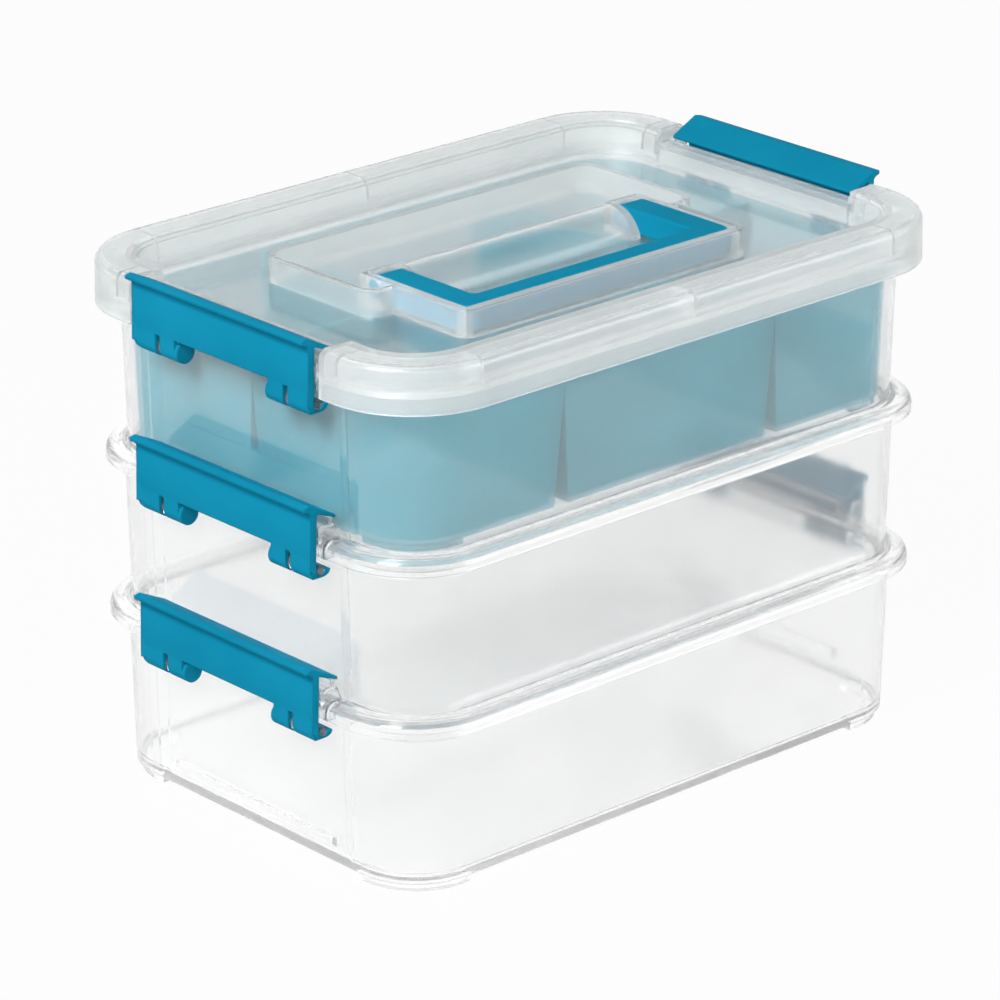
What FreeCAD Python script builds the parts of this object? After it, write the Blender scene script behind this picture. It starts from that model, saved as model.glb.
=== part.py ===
import FreeCAD, Part
import math
import os

V = FreeCAD.Vector
UP = V(0, 0, 1)
ALONG = V(1, 0, 0)
ACROSS = V(0, 1, 0)
CENTRE = V(0, 0, 0)

# Outline of the lid, which every other outline follows as an inset
lid_length = 270.0
lid_width = 188.0
lid_corner_radius = 36.0

# Stacking
layer_pitch = 60.0
nest_depth = 4.5
nest_clearance = 0.5
seat_clearance = 0.2

# Walls of the boxes
box_wall = 1.6
box_floor = 1.8
box_draft = 1.4
base_edge_radius = 0.5
floor_corner_radius = 3.0
floor_ring_width = 6.0
ledge_width = 2.0
ledge_height = 1.5
ledge_taper_height = 4.0

# Flange around the mouth of a box
flange_reach = 6.8
flange_wall = 1.7
flange_height = 6.5
flange_fall = 1.0
flange_root = 0.8
flange_edge_height = 3.4
flange_crown_width = 4.6
flange_crown_rise = 0.2
flange_lip_edge = 0.6
crown_bulge_shares = (0.22, 0.66)
mouth_edge_radius = 0.8

# Feet under the corners of each box
foot_height = 3.2
foot_width = 4.0
foot_run = 4.0
foot_clearance = 0.4
foot_overlap = 0.4

# Sunk panel in the short end of each box
end_panel_half_width = 51.0
end_panel_depth = 0.8
end_panel_margin = 4.0
end_panel_bevel = 5.0
end_panel_skin = 0.1

# Lid
lid_wall = 1.8
skirt_clearance = 0.4
skirt_drop = 3.0
skirt_draft = 0.3
rim_height = 14.6
rim_edge_radius = 3.4
rim_width = 14.8
rim_fall = 0.5
rim_step_height = 1.8
rim_step_width = 0.8
recess_draft = 0.6
rim_rib_wall = 1.2
rib_flange_gap = 0.4

# Latches and the rods that they turn on
latch_length = 94.4
latch_wall = 1.8
latch_gap = 47.4
latch_side_clearance = 0.8
latch_corner_radius = 4.0
latch_lean = 0.6
hinge_inset = 3.0
hinge_drop = 11.5
rod_radius = 1.7
rod_clearance = 0.3
hook_wall = 2.0
tab_rise = 4.9
slot_width = 2.6
slot_rise = 4.6
slot_centre = 34.3
hook_cap_wall = 1.5
rod_end_clearance = 0.4
rod_web_wall = 1.6
rod_web_inset = 0.6
ear_wall = 2.0
ear_rise = 5.2
ear_edge = 1.2
ear_reach = 1.0
lip_reach = 6.5
lip_rise = 17.9
lip_wall = 1.2
lip_root_wall = 2.0
lip_tip_reach = 8.0
lip_tip_rise = 24.7
lip_nose = 1.2
lip_roll_width = 3.1
lip_roll_drop = 0.6
lip_corner_radius = 1.2
face_bulge = 0.6
crest_drop = 6.0
cove_shares = (0.10, 0.60)
latch_border_width = 4.0
latch_border_rise = 1.0
border_bulge_shares = (0.66, 0.26)
catch_overlap = 0.5
catch_gap = 1.2
catch_flange_gap = 0.8
catch_half_width = 44.0
catch_wall = 1.8
notch_clearance = 0.6

# Handle and the raised block that holds it
handle_length = 129.0
handle_front = 46.3
handle_grip_width = 9.4
handle_arm_width = 12.0
handle_thickness = 9.4
handle_pivot_y = -1.0
handle_floor_gap = 0.6
handle_clearance = 0.6
handle_corner_radius = 5.0
handle_inner_radius = 2.0
handle_edge_radius = 1.2
pin_radius = 2.4
pin_length = 3.0
pin_clearance = 0.1
pin_end_clearance = 0.5
pin_boss_wall = 2.0
block_wall = 2.0
block_shoulder = 13.9
block_back = 46.0
block_step = -13.0
block_rise_over_handle = 0.4
block_corner_radius = 6.0
ramp_run = 16.0

# Lift-out tray
tray_wall = 1.4
tray_clearance = 1.4
tray_draft = 1.5
tray_foot_height = 3.2
tray_top_gap = 2.6
tray_cross_wall_offset = 51.0
tray_web_top = 1.8
tray_web_base = 9.4
tray_pocket_radius = 4.0
tray_pad_half_width = 53.0
tray_pad_height = 15.6
tray_pad_wall = 0.8
tray_pad_radius = 14.0

# One overrun serves every cut
overrun = 5.0
level_tolerance = 0.01

# Worked out from the sizes above
half_length = lid_length / 2
half_width = lid_width / 2
flange_inset = lid_wall + skirt_clearance
wall_inset = flange_inset + flange_reach
base_inset = wall_inset + box_draft
mouth_inset = base_inset - nest_clearance
ledge_inset = mouth_inset + ledge_width
flange_top = layer_pitch + nest_depth
flange_bottom = flange_top - flange_height
ledge_top = layer_pitch - seat_clearance
hinge_x = half_length - hinge_inset
hinge_z = flange_top - hinge_drop
hook_radius = rod_radius + rod_clearance + hook_wall
latch_half = latch_length / 2
ear_inner = latch_half + latch_side_clearance
ear_outer = ear_inner + ear_wall
notch_half = ear_outer + notch_clearance
catch_x = hinge_x - lip_reach + catch_overlap
catch_top = hinge_z + lip_rise - catch_gap - layer_pitch
catch_bottom = nest_depth + catch_flange_gap
pivot_z = lid_wall + handle_floor_gap + handle_thickness / 2
handle_top = pivot_z + handle_thickness / 2
block_top = handle_top + block_rise_over_handle
handle_half = handle_length / 2
pocket_half = handle_half + handle_clearance
pocket_front = -handle_front - handle_clearance
pocket_back = handle_pivot_y + handle_thickness / 2 + handle_clearance
inner_half = handle_half - handle_arm_width
well_half = inner_half - handle_clearance
block_wide_half_length = pocket_half + block_shoulder
boss_end = pocket_half + pin_length + pin_end_clearance + pin_boss_wall
layer_names = ("bottom", "middle", "top")


def wall_inset_at(height):
    """Inset of the drafted outer face of a box wall at a height over its base."""
    return base_inset - box_draft * height / flange_bottom


def outline(inset, z):
    """Closed wire of the lid's outline, drawn in by an inset, at a height."""
    return rounded_wire(half_length - inset, half_width - inset, lid_corner_radius - inset, z)


def rounded_wire(half_x, half_y, radius, z):
    """Closed wire of a rounded rectangle about the Z axis."""
    slope = math.sqrt(0.5)
    edges = []
    corners = ((1, 1), (-1, 1), (-1, -1), (1, -1))
    centres = [V(sx * (half_x - radius), sy * (half_y - radius), z) for sx, sy in corners]
    starts = []
    ends = []
    for (sx, sy), centre in zip(corners, centres):
        across = V(sx * radius, 0, 0)
        along = V(0, sy * radius, 0)
        first, last = (across, along) if sx == sy else (along, across)
        middle = V(sx * radius * slope, sy * radius * slope, 0)
        edges.append(Part.Arc(centre + first, centre + middle, centre + last).toShape())
        starts.append(centre + first)
        ends.append(centre + last)
    for index, end in enumerate(ends):
        start = starts[(index + 1) % len(starts)]
        if end.distanceToPoint(start) > 0:
            edges.append(Part.LineSegment(end, start).toShape())
    return Part.Wire(Part.__sortEdges__(edges))


def prism(wire, height):
    """Upright solid over a flat closed wire."""
    return Part.Face(wire).extrude(UP * height)


def loft(lower, upper):
    """Solid between two closed wires."""
    return Part.makeLoft([lower, upper], True, True)


def box(low, high):
    """Plain block between two opposite corners."""
    size = high - low
    return Part.makeBox(size.x, size.y, size.z, low)


def moved(shape, x, y, z):
    """Copy of a shape, shifted."""
    copy = shape.copy()
    copy.translate(V(x, y, z))
    return copy


def turned(shape):
    """Copy of a shape, turned half round the Z axis."""
    copy = shape.copy()
    copy.rotate(CENTRE, UP, 180)
    return copy


def joined(shapes):
    """One solid from several overlapping ones."""
    return shapes[0].multiFuse(shapes[1:]).removeSplitter()


def section_face(path, place):
    """Flat face of a path of points; a triple of points in the path is an arc through them."""
    edges = []
    here = None
    first = None
    for item in path:
        if isinstance(item[0], tuple):
            start, middle, end = (place(*point) for point in item)
            if here is not None and here.distanceToPoint(start) > 0:
                edges.append(Part.LineSegment(here, start).toShape())
            edges.append(Part.Arc(start, middle, end).toShape())
            first = start if first is None else first
            here = end
        else:
            point = place(*item)
            if here is not None:
                edges.append(Part.LineSegment(here, point).toShape())
            first = point if first is None else first
            here = point
    edges.append(Part.LineSegment(here, first).toShape())
    return Part.Face(Part.Wire(edges))


def quarter(start, end, bulge):
    """Arc of a quarter turn between two section points, on the side of the bulge point."""
    slope = 1 - math.sqrt(0.5)
    middle_x = bulge[0] + (start[0] + end[0] - 2 * bulge[0]) * slope
    middle_z = bulge[1] + (start[1] + end[1] - 2 * bulge[1]) * slope
    return (start, (middle_x, middle_z), end)


def ring(path):
    """Solid with a section of (inset, height) points, run once round the outline."""
    face = section_face(path, lambda inset, z: V(lid_corner_radius - inset, 0, z))
    run_x = half_length - lid_corner_radius
    run_y = half_width - lid_corner_radius
    corner = face.revolve(CENTRE, UP, 90)
    pieces = []
    for turn, (sx, sy) in enumerate(((1, 1), (-1, 1), (-1, -1), (1, -1))):
        piece = corner.copy()
        piece.rotate(CENTRE, UP, 90 * turn)
        pieces.append(moved(piece, sx * run_x, sy * run_y, 0))
    end_run = moved(face, run_x, -run_y, 0).extrude(ACROSS * (2 * run_y))
    side_face = face.copy()
    side_face.rotate(CENTRE, UP, -90)
    side_run = moved(side_face, -run_x, -run_y, 0).extrude(ALONG * (2 * run_x))
    pieces += [end_run, turned(end_run), side_run, turned(side_run)]
    return joined(pieces)


def box_section():
    """Section of a box: floor edge, drafted wall, hollow flange, mouth and seat ledge."""
    inner_floor = box_floor + floor_corner_radius
    taper_low = ledge_top - ledge_height - ledge_taper_height
    floor_inset = wall_inset_at(inner_floor) + box_wall
    floor_edge = base_inset + floor_ring_width
    lip_inset = flange_inset + flange_wall
    under_crown = flange_top - flange_wall
    edge_z = flange_top - flange_edge_height
    crown = (flange_inset + flange_crown_width, flange_top - flange_crown_rise)
    bulge = (flange_inset + flange_crown_width * crown_bulge_shares[0],
             edge_z + (crown[1] - edge_z) * crown_bulge_shares[1])
    return [
        (floor_edge, 0),
        quarter((base_inset + base_edge_radius, 0), (base_inset, base_edge_radius), (base_inset, 0)),
        (wall_inset, flange_bottom),
        (wall_inset - flange_root, flange_bottom + flange_root),
        (wall_inset - flange_root, under_crown),
        (lip_inset, under_crown - flange_fall),
        (lip_inset, flange_bottom),
        (flange_inset + flange_lip_edge, flange_bottom),
        (flange_inset, flange_bottom + flange_lip_edge),
        ((flange_inset, edge_z), bulge, crown),
        quarter((mouth_inset - mouth_edge_radius, flange_top),
                (mouth_inset, flange_top - mouth_edge_radius), (mouth_inset, flange_top)),
        (mouth_inset, ledge_top),
        (ledge_inset, ledge_top),
        (ledge_inset, ledge_top - ledge_height),
        (wall_inset_at(taper_low) + box_wall, taper_low),
        quarter((floor_inset, inner_floor), (floor_inset + floor_corner_radius, box_floor),
                (floor_inset, box_floor)),
        (floor_edge, box_floor),
    ]


def corner_feet(inset, height, run, width, top_overlap):
    """Four curved pads under the corners of an outline, reaching down by a height."""
    outer = prism(outline(inset, -height), height + top_overlap)
    inner = prism(outline(inset + width, -height), height + top_overlap)
    band = outer.cut(inner)
    reach = lid_corner_radius - inset + run
    pads = []
    for sx in (1, -1):
        for sy in (1, -1):
            low_x = half_length - inset - reach
            low_y = half_width - inset - reach
            xs = sorted((sx * low_x, sx * half_length))
            ys = sorted((sy * low_y, sy * half_width))
            cell = box(V(xs[0], ys[0], -height - overrun), V(xs[1], ys[1], top_overlap + overrun))
            pads.append(band.common(cell))
    return pads


def end_section(path, y_low, y_high):
    """Solid with a section of (x, height) points at the right end, run across the box."""
    face = section_face(path, lambda x, z: V(x, y_low, z))
    return face.extrude(ACROSS * (y_high - y_low))


def latch_mountings():
    """Rods, webs, ears and catch at the right end of a box."""
    wall_x = half_length - wall_inset
    rod_low = latch_gap / 2 + hook_cap_wall + rod_end_clearance
    root_x = wall_x - box_wall
    mouth_x = half_length - mouth_inset + mouth_edge_radius
    crown_x = half_length - flange_inset - flange_wall
    ear_x = half_length - flange_inset + ear_reach
    ear_top = flange_top + ear_rise
    web_path = [(root_x, hinge_z - rod_radius), (hinge_x, hinge_z - rod_radius),
                (hinge_x, hinge_z + rod_radius + rod_clearance), (crown_x, flange_top - flange_wall),
                (mouth_x, flange_top - flange_wall), (mouth_x, ledge_top), (root_x, ledge_top - ledge_height)]
    ear_path = [(wall_x - flange_root, flange_bottom), (ear_x - ear_edge, flange_bottom),
                (ear_x, flange_bottom + ear_edge), (ear_x, ear_top - ear_edge), (ear_x - ear_edge, ear_top),
                (mouth_x + ear_wall, ear_top), (mouth_x, flange_top), (mouth_x, ledge_top),
                (wall_x - flange_root, ledge_top - ledge_height)]
    web_low = slot_centre - rod_web_wall / 2
    solids = []
    for side in (1, -1):
        rod = Part.makeCylinder(rod_radius, latch_half - rod_end_clearance - rod_low,
                                V(hinge_x, rod_low, hinge_z), ACROSS)
        web = end_section(web_path, web_low, web_low + rod_web_wall)
        web_end = Part.makeCylinder(hook_radius - rod_web_inset, rod_web_wall, V(hinge_x, web_low, hinge_z),
                                    ACROSS)
        ear = end_section(ear_path, ear_inner, ear_outer)
        for solid in (rod, web, web_end, ear):
            solids.append(solid if side > 0 else mirrored(solid))
    base_x = half_length - wall_inset_at(catch_top) - end_panel_depth - box_wall / 2
    lip_low = catch_top - (catch_top - catch_bottom) / 2
    catch_path = [(base_x, catch_bottom - catch_flange_gap / 2),
                  (half_length - wall_inset_at(catch_bottom) - end_panel_depth, catch_bottom),
                  (catch_x, lip_low), (catch_x, catch_top), (base_x, catch_top)]
    solids.append(end_section(catch_path, -catch_half_width, catch_half_width))
    return solids


def mirrored(shape):
    """Copy of a shape on the other side of the long middle plane."""
    return shape.mirror(CENTRE, ACROSS)


def end_panel(wall_depth):
    """Slab with bevelled sides, sunk by the panel's depth below a depth in the drafted end wall."""
    wires = []
    for sunk in (-end_panel_skin, end_panel_depth):
        taper = end_panel_bevel * (sunk / end_panel_depth - 1 / 2)
        half = end_panel_half_width - taper
        low = end_panel_margin + taper
        high = flange_bottom - low
        points = []
        for y, z in ((-half, low), (half, low), (half, high), (-half, high)):
            points.append(V(half_length - wall_inset_at(z) - wall_depth - sunk, y, z))
        wires.append(Part.makePolygon(points + points[:1]))
    return loft(wires[0], wires[1])


def stack_box():
    """One box, standing with its base on the plane of zero height."""
    floor = prism(outline(base_inset + floor_ring_width / 2, 0), box_floor)
    body = ring(box_section()).fuse(floor)
    panel_pad = end_panel(box_wall)
    panel_cut = end_panel(0)
    mountings = latch_mountings()
    for flip in (lambda shape: shape, turned):
        body = body.fuse(flip(panel_pad)).cut(flip(panel_cut))
        body = body.multiFuse([flip(solid) for solid in mountings])
    feet = corner_feet(ledge_inset + foot_clearance, foot_height, foot_run, foot_width, foot_overlap)
    return body.multiFuse(feet).removeSplitter()


def lid_section():
    """Section of the lid: plug, recess wall, stepped rim and skirt."""
    plug_edge = rim_width + rim_step_width + recess_draft + floor_ring_width
    recess_foot = rim_width + rim_step_width + recess_draft
    recess_head = rim_width + rim_step_width
    rim_under = rim_height - lid_wall
    rim_round = rim_height - rim_edge_radius
    inner_round = rim_under - rim_edge_radius + lid_wall
    return [
        (plug_edge, 0),
        (base_inset, 0),
        (base_inset, lid_wall),
        (recess_foot - lid_wall, lid_wall),
        (rim_width - lid_wall, rim_under - rim_step_height),
        (rim_width - lid_wall - rim_step_height, rim_under),
        quarter((rim_edge_radius, rim_under), (lid_wall + skirt_draft, inner_round),
                (lid_wall + skirt_draft, rim_under)),
        (lid_wall, -skirt_drop),
        (0, -skirt_drop),
        quarter((skirt_draft, rim_round), (skirt_draft + rim_edge_radius, rim_height),
                (skirt_draft, rim_height)),
        (rim_width, rim_height - rim_fall),
        (rim_width, rim_height - rim_fall - rim_step_height),
        (recess_head, rim_height - rim_fall - rim_step_height),
        (recess_foot, lid_wall),
        (plug_edge, lid_wall),
    ]


def rim_core():
    """Section that fills the hollow of the rim above the flange of the box below."""
    foot = nest_depth + rib_flange_gap
    rim_round = rim_height - rim_edge_radius
    return [
        (rim_width, foot),
        (lid_wall / 2, foot),
        quarter((lid_wall / 2, rim_round), (skirt_draft + rim_edge_radius, rim_height - lid_wall / 2),
                (lid_wall / 2, rim_height - lid_wall / 2)),
        (rim_width - lid_wall / 2, rim_height - rim_fall - lid_wall / 2),
    ]


def rim_ribs():
    """Thin walls inside the hollow rim: at the corner tangents, mid sides and notch ends."""
    core = ring(rim_core())
    far = half_length + overrun
    tall = rim_height + overrun
    run_x = half_length - lid_corner_radius
    run_y = half_width - lid_corner_radius
    ribs = []
    for x in (-run_x, 0, run_x):
        ribs.append(core.common(box(V(x - rim_rib_wall / 2, -far, 0), V(x + rim_rib_wall / 2, far, tall))))
    for side in (1, -1):
        for y, wall in ((run_y, rim_rib_wall), (notch_half, lid_wall)):
            low, high = sorted((side * y, side * (y + wall)))
            ribs.append(core.common(box(V(-far, low, 0), V(far, high, tall))))
    return ribs


def notch_cuts():
    """Space cut from the rim for a latch at the right end."""
    tall = rim_height + overrun
    inner_x = half_length - rim_width - rim_step_width - recess_draft - overrun
    over = box(V(inner_x, -notch_half, catch_top), V(half_length + overrun, notch_half, tall))
    beside = box(V(catch_x, -notch_half, -skirt_drop - overrun),
                 V(half_length + overrun, notch_half, tall))
    return over.fuse(beside)


def notch_shelf():
    """Shelf and catch that close the lid's wall below the notch at the right end."""
    recess_x = half_length - rim_width - rim_step_width - recess_draft
    plug_x = half_length - base_inset
    lip_low = catch_top - (catch_top - catch_bottom) / 2
    path = [(recess_x, lid_wall / 2), (plug_x, lid_wall / 2), (plug_x, catch_bottom), (catch_x, lip_low),
            (catch_x, catch_top), (recess_x, catch_top - catch_gap / 2)]
    hollow = [(recess_x + lid_wall, -overrun), (plug_x - catch_wall, -overrun),
              (plug_x - catch_wall, catch_top - catch_wall),
              (recess_x + lid_wall, catch_top - catch_wall - catch_gap / 2)]
    shelf = end_section(path, -notch_half, notch_half)
    inside = end_section(hollow, -notch_half + catch_wall, notch_half - catch_wall)
    return shelf.cut(inside)


def block_prism(shrink, low, high):
    """Upright solid of the handle block's stepped outline, drawn in by an amount."""
    front_half = pocket_half + block_wall + block_wall
    front = pocket_front - block_wall - block_wall
    wide_y = (block_back + block_step) / 2
    wide = prism(rounded_wire(block_wide_half_length - shrink, (block_back - block_step) / 2 - shrink,
                              block_corner_radius, low), high - low)
    narrow = prism(rounded_wire(front_half - shrink, (block_back - front) / 2 - shrink,
                                block_corner_radius, low), high - low)
    narrow_y = (block_back + front) / 2
    return moved(wide, 0, wide_y, 0).fuse(moved(narrow, 0, narrow_y, 0)).removeSplitter()


def ramp(shrink, low, back):
    """Rounded finger ramp behind the grip, between the arms, drawn in by an amount."""
    top = block_top - shrink
    run = ramp_run - shrink
    slope = math.sqrt(0.5)
    foot_y = pocket_back - run
    middle = (pocket_back - run * slope, lid_wall + (top - lid_wall) * slope)
    start_x = -well_half + shrink
    path = [(foot_y, low), ((foot_y, lid_wall), middle, (pocket_back, top)), (back, top), (back, low)]
    face = section_face(path, lambda y, z: V(start_x, y, z))
    return face.extrude(ALONG * (-2 * start_x))


def handle_block():
    """Hollow raised block with the handle's channel, finger well and pivot holes."""
    shell = block_prism(0, lid_wall / 2, block_top)
    top_edges = [edge for edge in shell.Edges if edge.BoundBox.ZMin > block_top - lid_wall / 2]
    shell = shell.makeFillet(block_wall / 2, top_edges)
    hollow = block_prism(block_wall, -overrun, block_top - block_wall)
    lining = box(V(-pocket_half - block_wall, pocket_front - block_wall, -overrun - overrun),
                 V(pocket_half + block_wall, pocket_back + block_wall, block_top))
    hollow = hollow.cut(lining)
    channel = box(V(-pocket_half, pocket_front, lid_wall), V(pocket_half, pocket_back, block_top + overrun))
    bosses = []
    holes = []
    for side in (1, -1):
        start = V(side * pocket_half, handle_pivot_y, pivot_z)
        boss = Part.makeCylinder(pin_radius + pin_boss_wall, boss_end - pocket_half, start, ALONG * side)
        hole = Part.makeCylinder(pin_radius + pin_clearance, pin_length + pin_end_clearance, start,
                                 ALONG * side)
        bosses.append(boss)
        holes.append(hole)
    shell = shell.cut(hollow).multiFuse(bosses).cut(channel)
    for hole in holes:
        shell = shell.cut(hole)
    back = pocket_back + block_wall
    ramp_hollow = ramp(block_wall, -overrun, back + overrun)
    return shell.fuse(ramp(0, lid_wall / 2, back)), hollow.fuse(ramp_hollow)


def lid():
    """Lid with its plug on the plane of zero height."""
    plug_edge = rim_width + rim_step_width + recess_draft
    panel = prism(outline(plug_edge, 0), lid_wall)
    body = ring(lid_section()).fuse(panel)
    body = body.multiFuse(rim_ribs())
    cut = notch_cuts()
    shelf = notch_shelf()
    for flip in (lambda shape: shape, turned):
        body = body.cut(flip(cut)).fuse(flip(shelf))
    shell, hollow = handle_block()
    return body.fuse(shell).cut(hollow).removeSplitter()


def handle():
    """U-shaped bail, lying flat, on the plane of the lid's plug."""
    low = pivot_z - handle_thickness / 2
    half_depth = (handle_front + handle_pivot_y + handle_thickness / 2) / 2
    middle_y = -handle_front + half_depth
    outer = prism(rounded_wire(handle_half, half_depth, handle_corner_radius, low), handle_thickness)
    outer = moved(outer, 0, middle_y, 0)
    square = box(V(-handle_half, middle_y, low),
                 V(handle_half, middle_y + half_depth, low + handle_thickness))
    grip_back = -handle_front + handle_grip_width
    opening = prism(rounded_wire(inner_half, handle_front, handle_inner_radius, low - overrun),
                    handle_thickness + overrun + overrun)
    opening = moved(opening, 0, grip_back + handle_front, 0)
    bail = outer.fuse(square).removeSplitter().cut(opening)
    length = handle_length + overrun
    rounding = Part.makeCylinder(handle_thickness / 2, length, V(-length / 2, handle_pivot_y, pivot_z), ALONG)
    ahead = box(V(-length / 2, -handle_front - overrun, low - overrun),
                V(length / 2, handle_pivot_y, low + handle_thickness + overrun))
    bail = bail.common(rounding.fuse(ahead)).removeSplitter()
    level = [edge for edge in bail.Edges if edge.BoundBox.ZLength < level_tolerance]
    flat = [edge for edge in level if edge.BoundBox.YMax < handle_pivot_y - handle_clearance]
    bail = bail.makeFillet(handle_edge_radius, flat)
    pins = []
    for side in (1, -1):
        start = V(side * (handle_half - handle_edge_radius), handle_pivot_y, pivot_z)
        pins.append(Part.makeCylinder(pin_radius, pin_length + handle_edge_radius, start, ALONG * side))
    return bail.multiFuse(pins).removeSplitter()


def latch():
    """Latch at the right end, with its hinge axis at the origin, closed."""
    inner = hook_radius - latch_wall
    lip_ridge = (lip_tip_reach - lip_roll_width, lip_tip_rise)
    slope = (lip_tip_rise - lip_rise - lip_wall) / (lip_ridge[0] + lip_reach)
    plate_top_in = inner - latch_lean
    under_at_plate = lip_rise + lip_wall + slope * (plate_top_in + lip_reach) - lip_root_wall
    crest = (hook_radius, lip_tip_rise - crest_drop)
    face_middle = (hook_radius + face_bulge, (tab_rise + crest[1]) / 2)
    lip_tip = (lip_tip_reach, lip_tip_rise - lip_roll_drop)
    flare_high = (lip_tip_reach - lip_nose / 2, lip_tip[1] - lip_nose)
    cove_middle = (crest[0] + (flare_high[0] - crest[0]) * cove_shares[0],
                   crest[1] + (flare_high[1] - crest[1]) * cove_shares[1])
    lip_top = (-lip_reach, lip_rise + lip_wall)
    plate_path = [(inner, 0), (hook_radius, 0), ((hook_radius, tab_rise), face_middle, crest),
                  (crest, cove_middle, flare_high), lip_tip, lip_ridge, lip_top, (-lip_reach, lip_rise),
                  (plate_top_in, under_at_plate), (inner, tab_rise)]
    body = end_section(plate_path, -latch_half, latch_half)
    rim_foot = latch_half - latch_border_width
    rim_root = hook_radius - latch_wall / 2
    rim_middle = (hook_radius + latch_border_rise * border_bulge_shares[1],
                  rim_foot + latch_border_width * border_bulge_shares[0])
    rim_path = [((hook_radius, rim_foot), rim_middle, (hook_radius + latch_border_rise, latch_half)),
                (rim_root, latch_half), (rim_root, rim_foot)]
    rim_lean = V(-latch_lean, 0, flare_high[1])
    rim = section_face(rim_path, lambda u, y: V(u, y, 0)).extrude(rim_lean)
    over_lip = [lip_top, lip_ridge, lip_tip, (lip_tip[0], lip_tip_rise + overrun),
                (-lip_reach, lip_tip_rise + overrun)]
    body = body.multiFuse([rim, mirrored(rim)]).cut(end_section(over_lip, -latch_half, latch_half))
    hook = Part.makeCylinder(hook_radius, latch_length, V(0, -latch_half, 0), ACROSS)
    bore = Part.makeCylinder(rod_radius + rod_clearance, latch_length + overrun + overrun,
                             V(0, -latch_half - overrun, 0), ACROSS)
    below = box(V(-hook_radius, -latch_half, -hook_radius), V(hook_radius, latch_half, 0))
    body = body.fuse(hook.common(below)).cut(bore)
    tab_inner = latch_gap / 2 + hook_cap_wall
    gap = box(V(-hook_radius - overrun, -tab_inner, -hook_radius - overrun),
              V(hook_radius + overrun, tab_inner, tab_rise))
    body = body.cut(gap)
    for side in (1, -1):
        slot_low, slot_high = sorted((side * (slot_centre - slot_width / 2),
                                      side * (slot_centre + slot_width / 2)))
        slot = box(V(-hook_radius - overrun, slot_low, -hook_radius - overrun),
                   V(hook_radius + overrun, slot_high, slot_rise))
        cap = Part.makeCylinder(hook_radius, hook_cap_wall, V(0, side * latch_gap / 2, 0), ACROSS * side)
        body = body.cut(slot).fuse(cap)
    face_half_height = (lip_tip_rise + hook_radius) / 2
    front = rounded_wire(latch_half, face_half_height, latch_corner_radius, 0)
    front_solid = Part.Face(front).extrude(UP * (lip_reach + lip_tip_reach + overrun + overrun))
    front_solid.rotate(CENTRE, ALONG + ACROSS + UP, 120)
    front_solid = moved(front_solid, -lip_reach - overrun, 0, face_half_height - hook_radius)
    square_top = box(V(-lip_reach - overrun, -latch_half, tab_rise),
                     V(lip_tip_reach + overrun, latch_half, lip_tip_rise + overrun))
    plan = rounded_wire(lip_tip_reach + lip_reach, latch_half, lip_corner_radius, -hook_radius - overrun)
    plan_solid = moved(prism(plan, lip_tip_rise + hook_radius + overrun + overrun), -lip_reach, 0, 0)
    return body.common(front_solid.fuse(square_top)).common(plan_solid).removeSplitter()


def cell_loft(x_low, x_high, y_low, y_high, low, high):
    """Tapered pocket between four cell borders, each given as a (base, top) pair."""
    wires = []
    for level, z in enumerate((low, high)):
        half_x = (x_high[level] - x_low[level]) / 2
        half_y = (y_high[level] - y_low[level]) / 2
        wire = rounded_wire(half_x, half_y, tray_pocket_radius, z)
        wire.translate(V((x_high[level] + x_low[level]) / 2, (y_high[level] + y_low[level]) / 2, 0))
        wires.append(wire)
    return loft(wires[0], wires[1])


def tray():
    """Tray with pockets in two rows and hollow tapered walls between them, on its own feet."""
    low = box_floor + seat_clearance + tray_foot_height
    high = layer_pitch - tray_top_gap
    top_inset = ledge_inset + tray_clearance
    base = top_inset + tray_draft
    body = loft(outline(base, low), outline(top_inset, high))
    floor = low + tray_wall
    tub = loft(outline(base + tray_wall, floor), outline(top_inset + tray_wall, high + tray_wall))
    far_x = half_length
    far_y = half_width
    web = (tray_web_base / 2, tray_web_top / 2)
    columns = (((-far_x, -far_x), [-tray_cross_wall_offset - half for half in web]),
               ([-tray_cross_wall_offset + half for half in web],
                [tray_cross_wall_offset - half for half in web]),
               ([tray_cross_wall_offset + half for half in web], (far_x, far_x)))
    rows = (((-far_y, -far_y), [-half for half in web]), (list(web), (far_y, far_y)))
    for x_low, x_high in columns:
        for y_low, y_high in rows:
            cell = cell_loft(x_low, x_high, y_low, y_high, floor, high + tray_wall)
            body = body.cut(cell.common(tub))
    groove_base = tray_web_base - tray_wall - tray_wall
    groove_rise = (high - low) * groove_base / (tray_web_base - tray_web_top)
    groove = [(-groove_base / 2, low), (groove_base / 2, low), (0, low + groove_rise)]
    for x in (-tray_cross_wall_offset, tray_cross_wall_offset):
        face = section_face(groove, lambda u, z: V(x + u, -far_y, z))
        body = body.cut(face.extrude(ACROSS * lid_width))
    face = section_face(groove, lambda u, z: V(-far_x, u, z))
    body = body.cut(face.extrude(ALONG * lid_length))
    pad_top = rounded_wire(tray_pad_height, tray_pad_half_width, tray_pad_radius, 0)
    pad = Part.Face(pad_top).extrude(UP * (tray_pad_wall + tray_wall / 2))
    pad.rotate(CENTRE, ACROSS, 90)
    pad_x = half_length - base - tray_wall / 2
    above = box(V(pad_x - overrun, -far_y, low), V(far_x, far_y, high))
    pad = moved(pad, pad_x, 0, low).common(above)
    feet = corner_feet(base + tray_wall, tray_foot_height, foot_run, foot_width, tray_wall / 2)
    feet = [moved(foot, 0, 0, low) for foot in feet]
    return body.multiFuse([pad, turned(pad)] + feet).removeSplitter()


def export(shape, name):
    """Write one named piece, and say what it holds."""
    shape.exportStep("parts/" + name + ".step")
    print(name, shape.isValid(), len(shape.Solids), round(shape.Volume), shape.BoundBox)


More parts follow.
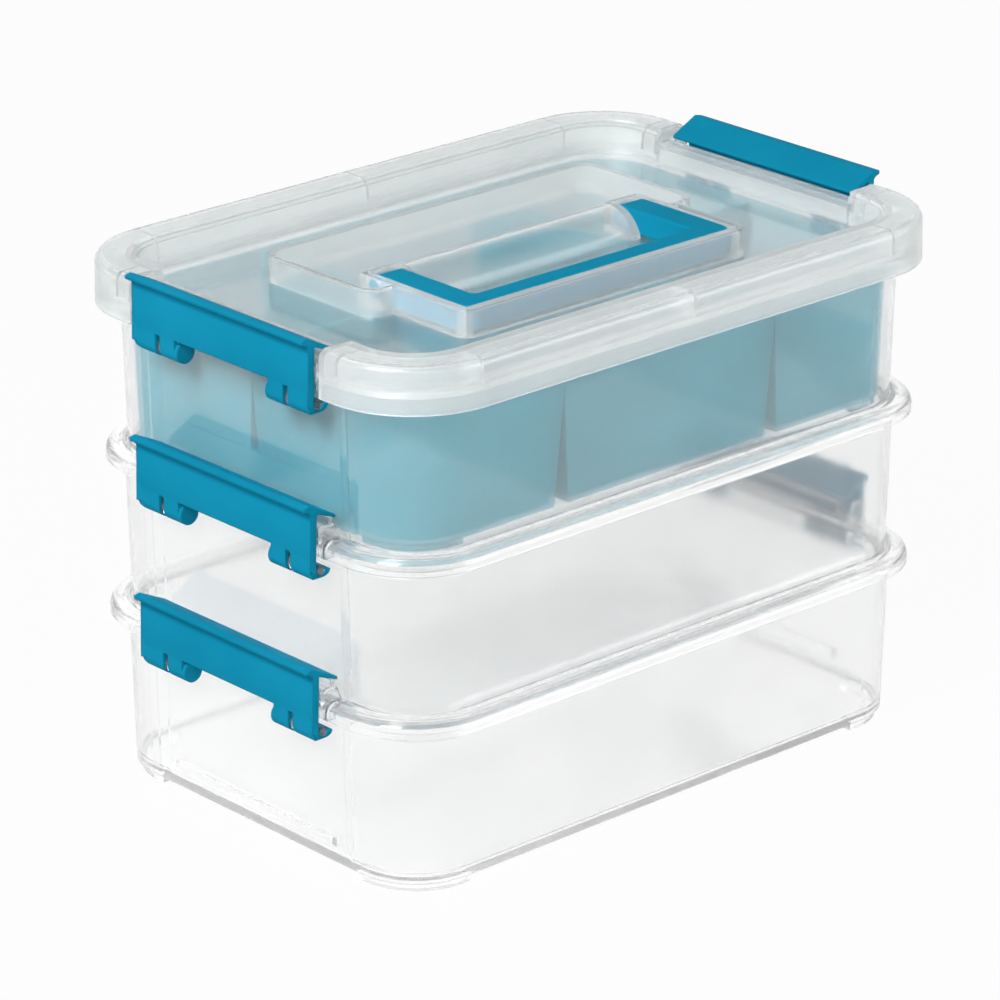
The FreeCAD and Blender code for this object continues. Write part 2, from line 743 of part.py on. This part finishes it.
def main():
    os.makedirs("parts", exist_ok=True)
    one_box = stack_box()
    one_latch = latch()
    for layer, layer_name in enumerate(layer_names):
        base = foot_height + layer * layer_pitch
        export(moved(one_box, 0, 0, base), layer_name + "_box")
        right = moved(one_latch, hinge_x, 0, base + hinge_z)
        export(right, layer_name + "_latch_right")
        export(turned(right), layer_name + "_latch_left")
    top_base = foot_height + (len(layer_names) - 1) * layer_pitch
    lid_base = foot_height + len(layer_names) * layer_pitch
    export(moved(tray(), 0, 0, top_base), "divided_tray")
    export(moved(lid(), 0, 0, lid_base), "lid")
    export(moved(handle(), 0, 0, lid_base), "carry_handle")


main()
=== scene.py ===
import math

import bpy
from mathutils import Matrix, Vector


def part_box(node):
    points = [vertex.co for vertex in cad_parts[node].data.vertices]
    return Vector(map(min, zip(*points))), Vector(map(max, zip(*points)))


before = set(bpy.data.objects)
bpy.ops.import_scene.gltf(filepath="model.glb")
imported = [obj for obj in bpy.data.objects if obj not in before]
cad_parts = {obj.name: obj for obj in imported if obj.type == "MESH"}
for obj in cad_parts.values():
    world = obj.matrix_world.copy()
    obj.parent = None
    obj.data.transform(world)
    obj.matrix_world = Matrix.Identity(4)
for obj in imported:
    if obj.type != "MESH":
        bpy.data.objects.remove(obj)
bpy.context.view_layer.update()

MM = 0.001

# Camera, fitted to the photograph: lens and sensor in mm, angles in degrees
CAMERA_LENS = 181.9
CAMERA_SENSOR = 36.0
CAMERA_AZIMUTH = -42.393
CAMERA_ELEVATION = 21.44
CAMERA_DISTANCE = 1837.65 * MM
CAMERA_TARGET = Vector((-6.62 * MM, 0.0, 95.25 * MM))
CAMERA_CLIP_END = 200.0

# Colours, linear; each plastic varies between its two
TEAL = (0.006, 0.262, 0.428)
TEAL_LIGHT = (0.008, 0.292, 0.468)
TRAY = (0.028, 0.330, 0.420)
TRAY_LIGHT = (0.045, 0.375, 0.465)
CLEAR = (0.972, 0.975, 0.975)
CLEAR_LIGHT = (0.988, 0.990, 0.990)
FROST = (0.850, 0.880, 0.880)
FROST_LIGHT = (0.890, 0.915, 0.915)
FLOOR = (0.60, 0.60, 0.60)
WHITE = (1.0, 1.0, 1.0, 1.0)

# Every plastic: its refraction, and the noise of its clouds of colour, patches of gloss and grain
PLASTIC_IOR = 1.49
CLOUD_SCALE, CLOUD_DETAIL = 22.0, 4.0
CLOUD_START, CLOUD_END = 0.35, 0.65
PATCH_SCALE, PATCH_DETAIL = 60.0, 3.0
PATCH_START, PATCH_END = 0.3, 0.7
GRAIN_DETAIL = 2.0

# Each plastic: scale, strength and depth of its grain, range of its roughness, its gloss, its
# transmission, and the share of the lamps' light that passes one of its faces
TEAL_GRAIN = (900.0, 0.05, 0.2 * MM)
TEAL_ROUGHNESS = (0.34, 0.44)
TEAL_GLOSS = 0.002
CLEAR_GRAIN = (30.0, 0.01, 1.0 * MM)
CLEAR_ROUGHNESS = (0.08, 0.13)
CLEAR_TRANSMISSION = 0.945
CLEAR_PASS = 0.87
FROST_GRAIN = (900.0, 0.01, 0.2 * MM)
FROST_PASS = 0.80
TRAY_GRAIN = (500.0, 0.01, 0.3 * MM)
TRAY_ROUGHNESS = (0.25, 0.40)
TRAY_GLOSS = 0.2

# Rounding that the edges of the teal pieces show
EDGE_RADIUS = 1.0 * MM
EDGE_SAMPLES = 6

# The lid: width of its matt rim, blur of the rim's edge as a share of the panel, the upright part
# of the normal below which a face is a wall and above which it is level, and the values of its
# clear faces and of its matt ones
RIM_WIDTH = 16.2 * MM
RIM_BLUR = 0.02
WALL_SLOPE, LEVEL_SLOPE = 0.25, 0.85
LID_ROUGHNESS = (0.10, 0.26)
LID_TRANSMISSION = (0.97, 0.74)

# The tray's own colour against what lies behind it, seen square on and at a slant
TRAY_VEIL = (0.40, 0.68)
SLANT_BLEND = 0.15

# Light of the surroundings, and the floor
WORLD_SEEN = 1.0
WORLD_LIGHT = 0.28
FLOOR_SIZE = 60.0
FLOOR_DROP = 0.2 * MM
FLOOR_ROUGHNESS = 0.9
FLOOR_WHITE_SHARE = 0.96

# Lamps: place and side of the square in metres, power in watts
LAMPS = {
    "key": ((-1.35, -0.35, 1.30), 0.6, 25.0),
    "fill": ((0.9, -1.4, 0.45), 1.1, 10.0),
    "back": ((0.3, 1.3, 1.2), 1.0, 2.0),
}

# Bounces enough for three boxes, a tray and a lid behind each other
CLEAR_BOUNCES = 48
DIFFUSE_BOUNCES = 6
TRANSPARENT_BOUNCES = 32


def material(name):
    """New node material, with its tree and its Principled shader."""
    mat = bpy.data.materials.new(name)
    mat.use_nodes = True
    tree = mat.node_tree
    return mat, tree, tree.nodes["Principled BSDF"]


def node(tree, kind, **values):
    """New node with settings and unlinked socket values, the latter by their names."""
    made = tree.nodes.new(kind)
    for key, value in values.items():
        if hasattr(made, key):
            setattr(made, key, value)
        else:
            made.inputs[key.replace("_", " ")].default_value = value
    return made


def noise(tree, scale, detail):
    """Noise in the object's own coordinates."""
    place = node(tree, "ShaderNodeTexCoord")
    made = node(tree, "ShaderNodeTexNoise", Scale=scale, Detail=detail)
    tree.links.new(place.outputs["Object"], made.inputs["Vector"])
    return made.outputs["Fac"]


def clouds(tree, low, high):
    """Two colours mixed by a noise."""
    made = node(tree, "ShaderNodeValToRGB")
    first, last = made.color_ramp.elements
    first.position, first.color = CLOUD_START, (*low, 1.0)
    last.position, last.color = CLOUD_END, (*high, 1.0)
    tree.links.new(noise(tree, CLOUD_SCALE, CLOUD_DETAIL), made.inputs["Fac"])
    return made.outputs["Color"]


def eased(tree, source, start, end, low, high):
    """A number that goes from low to high while the source goes from start to end."""
    made = node(tree, "ShaderNodeMapRange", From_Min=start, From_Max=end, To_Min=low, To_Max=high)
    tree.links.new(source, made.inputs["Value"])
    return made.outputs["Result"]


def calculated(tree, operation, first, second=None):
    """Result of a calculation with a socket and, where it needs one, a second socket or number."""
    made = node(tree, "ShaderNodeMath", operation=operation)
    tree.links.new(first, made.inputs[0])
    if isinstance(second, float):
        made.inputs[1].default_value = second
    elif second is not None:
        tree.links.new(second, made.inputs[1])
    return made.outputs[0]


def mixed(tree, share, first, second, out):
    """Sends two shaders to the output, the second one by the share."""
    mix = node(tree, "ShaderNodeMixShader")
    tree.links.new(share, mix.inputs[0])
    tree.links.new(first.outputs[0], mix.inputs[1])
    tree.links.new(second.outputs[0], mix.inputs[2])
    tree.links.new(mix.outputs[0], out.inputs["Surface"])


def plastic(name, low, high, grain, transmission=0.0, gloss=0.5):
    """Moulded plastic: faint clouds in the colour, and a grain of a scale, strength and depth."""
    mat, tree, shader = material(name)
    tree.links.new(clouds(tree, low, high), shader.inputs["Base Color"])
    scale, strength, depth = grain
    bump = node(tree, "ShaderNodeBump", Strength=strength, Distance=depth)
    tree.links.new(noise(tree, scale, GRAIN_DETAIL), bump.inputs["Height"])
    tree.links.new(bump.outputs["Normal"], shader.inputs["Normal"])
    shader.inputs["IOR"].default_value = PLASTIC_IOR
    shader.inputs["Transmission Weight"].default_value = transmission
    shader.inputs["Specular IOR Level"].default_value = gloss
    return mat


def uneven_gloss(mat, low, high):
    """Roughness that changes in patches."""
    tree = mat.node_tree
    patches = noise(tree, PATCH_SCALE, PATCH_DETAIL)
    roughness = eased(tree, patches, PATCH_START, PATCH_END, low, high)
    tree.links.new(roughness, tree.nodes["Principled BSDF"].inputs["Roughness"])


def soft_edges(mat, radius):
    """Moulded edges catch the light as rounded ones do."""
    tree = mat.node_tree
    made = node(tree, "ShaderNodeBevel", samples=EDGE_SAMPLES, Radius=radius)
    tree.links.new(made.outputs["Normal"], tree.nodes["Bump"].inputs["Normal"])


def see_through(mat, square_on, slanted):
    """Thin coloured plastic: part of the light goes straight through, less of it at a slant."""
    tree = mat.node_tree
    weight = node(tree, "ShaderNodeLayerWeight", Blend=SLANT_BLEND)
    veil = eased(tree, weight.outputs["Facing"], 0.0, 1.0, square_on, slanted)
    through = node(tree, "ShaderNodeBsdfTransparent")
    mixed(tree, veil, through, tree.nodes["Principled BSDF"], tree.nodes["Material Output"])


def lamp_light_through(mat, share):
    """Clear plastic: a share of the lamps' light passes each face to what lies behind."""
    tree = mat.node_tree
    path = node(tree, "ShaderNodeLightPath")
    through = node(tree, "ShaderNodeBsdfTransparent", Color=(share, share, share, 1.0))
    mixed(tree, path.outputs["Is Shadow Ray"], tree.nodes["Principled BSDF"], through,
          tree.nodes["Material Output"])


def frosted_lid(mat, panel_half):
    """Upright walls are matt and hazy, the rim is matt, level faces inside it are clear."""
    tree = mat.node_tree
    shader = tree.nodes["Principled BSDF"]
    place = node(tree, "ShaderNodeTexCoord")
    spot = node(tree, "ShaderNodeSeparateXYZ")
    tree.links.new(place.outputs["Object"], spot.inputs[0])
    facing = node(tree, "ShaderNodeSeparateXYZ")
    tree.links.new(place.outputs["Normal"], facing.inputs[0])
    level = calculated(tree, "ABSOLUTE", facing.outputs["Z"])
    upright = eased(tree, level, WALL_SLOPE, LEVEL_SLOPE, 1.0, 0.0)
    sides = []
    for axis, half in zip("XY", panel_half):
        reach = calculated(tree, "ABSOLUTE", spot.outputs[axis])
        sides.append(calculated(tree, "DIVIDE", reach, half))
    outward = calculated(tree, "MAXIMUM", *sides)
    rim = eased(tree, outward, 1.0 - RIM_BLUR, 1.0 + RIM_BLUR, 0.0, 1.0)
    matt = calculated(tree, "MAXIMUM", upright, rim)
    roughness = eased(tree, matt, 0.0, 1.0, *LID_ROUGHNESS)
    tree.links.new(roughness, shader.inputs["Roughness"])
    transmission = eased(tree, upright, 0.0, 1.0, *LID_TRANSMISSION)
    tree.links.new(transmission, shader.inputs["Transmission Weight"])


def dress(obj, mat):
    """A CAD piece takes a better material in its slots."""
    obj.data.materials.clear()
    obj.data.materials.append(mat)


def seen_white(tree):
    """1 for what the camera sees straight, in gloss or through clear plastic, else 0."""
    path = node(tree, "ShaderNodeLightPath")
    seen = calculated(tree, "MAXIMUM", path.outputs["Is Camera Ray"], path.outputs["Is Glossy Ray"])
    return calculated(tree, "MAXIMUM", seen, path.outputs["Is Transmission Ray"])


def make_world():
    """White to look at, soft grey as light."""
    world = bpy.data.worlds.new("studio")
    bpy.context.scene.world = world
    world.use_nodes = True
    tree = world.node_tree
    tree.nodes.clear()
    seen = node(tree, "ShaderNodeBackground", Strength=WORLD_SEEN, Color=WHITE)
    lit = node(tree, "ShaderNodeBackground", Strength=WORLD_LIGHT, Color=WHITE)
    mixed(tree, seen_white(tree), lit, seen, node(tree, "ShaderNodeOutputWorld"))


def make_floor():
    """Pale floor that keeps a soft shadow and fades into the white background."""
    bpy.ops.mesh.primitive_plane_add(size=FLOOR_SIZE, location=(0.0, 0.0, -FLOOR_DROP))
    floor = bpy.context.object
    floor.name = "floor"
    mat, tree, shader = material("pale_floor")
    shader.inputs["Base Color"].default_value = (*FLOOR, 1.0)
    shader.inputs["Roughness"].default_value = FLOOR_ROUGHNESS
    glow = node(tree, "ShaderNodeEmission", Strength=WORLD_SEEN)
    share = calculated(tree, "MULTIPLY", seen_white(tree), FLOOR_WHITE_SHARE)
    mixed(tree, share, shader, glow, tree.nodes["Material Output"])
    floor.data.materials.append(mat)


def area_light(name, place, size, power):
    """Soft square lamp that looks at the object."""
    data = bpy.data.lights.new(name, "AREA")
    data.shape = "SQUARE"
    data.size = size
    data.energy = power
    lamp = bpy.data.objects.new(name, data)
    bpy.context.scene.collection.objects.link(lamp)
    lamp.location = place
    aim = CAMERA_TARGET - Vector(place)
    lamp.rotation_euler = aim.to_track_quat("-Z", "Y").to_euler()


def make_camera():
    """Camera at the photograph's place and angle."""
    azimuth = math.radians(CAMERA_AZIMUTH)
    elevation = math.radians(CAMERA_ELEVATION)
    away = Vector((math.sin(azimuth) * math.cos(elevation),
                   -math.cos(azimuth) * math.cos(elevation),
                   math.sin(elevation)))
    data = bpy.data.cameras.new("camera")
    data.lens = CAMERA_LENS
    data.sensor_width = CAMERA_SENSOR
    data.clip_end = CAMERA_CLIP_END
    camera = bpy.data.objects.new("camera", data)
    bpy.context.scene.collection.objects.link(camera)
    camera.location = CAMERA_TARGET + away * CAMERA_DISTANCE
    camera.rotation_euler = (-away).to_track_quat("-Z", "Y").to_euler()
    bpy.context.scene.camera = camera


teal = plastic("teal_plastic", TEAL, TEAL_LIGHT, TEAL_GRAIN, gloss=TEAL_GLOSS)
uneven_gloss(teal, *TEAL_ROUGHNESS)
soft_edges(teal, EDGE_RADIUS)

clear = plastic("clear_plastic", CLEAR, CLEAR_LIGHT, CLEAR_GRAIN, CLEAR_TRANSMISSION)
uneven_gloss(clear, *CLEAR_ROUGHNESS)
lamp_light_through(clear, CLEAR_PASS)

frost = plastic("frosted_plastic", FROST, FROST_LIGHT, FROST_GRAIN)
_, lid_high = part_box("lid")
frosted_lid(frost, (lid_high[0] - RIM_WIDTH, lid_high[1] - RIM_WIDTH))
lamp_light_through(frost, FROST_PASS)

tray = plastic("tray_plastic", TRAY, TRAY_LIGHT, TRAY_GRAIN, gloss=TRAY_GLOSS)
uneven_gloss(tray, *TRAY_ROUGHNESS)
see_through(tray, *TRAY_VEIL)

for name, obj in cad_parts.items():
    if name == "lid":
        dress(obj, frost)
    elif name.endswith("_box"):
        dress(obj, clear)
    elif name == "divided_tray":
        dress(obj, tray)
    else:
        dress(obj, teal)

make_world()
make_floor()
for name, (place, size, power) in LAMPS.items():
    area_light(name, place, size, power)
make_camera()

scene = bpy.context.scene
scene.view_settings.view_transform = "Standard"
scene.cycles.max_bounces = CLEAR_BOUNCES
scene.cycles.diffuse_bounces = DIFFUSE_BOUNCES
scene.cycles.glossy_bounces = CLEAR_BOUNCES
scene.cycles.transmission_bounces = CLEAR_BOUNCES
scene.cycles.transparent_max_bounces = TRANSPARENT_BOUNCES
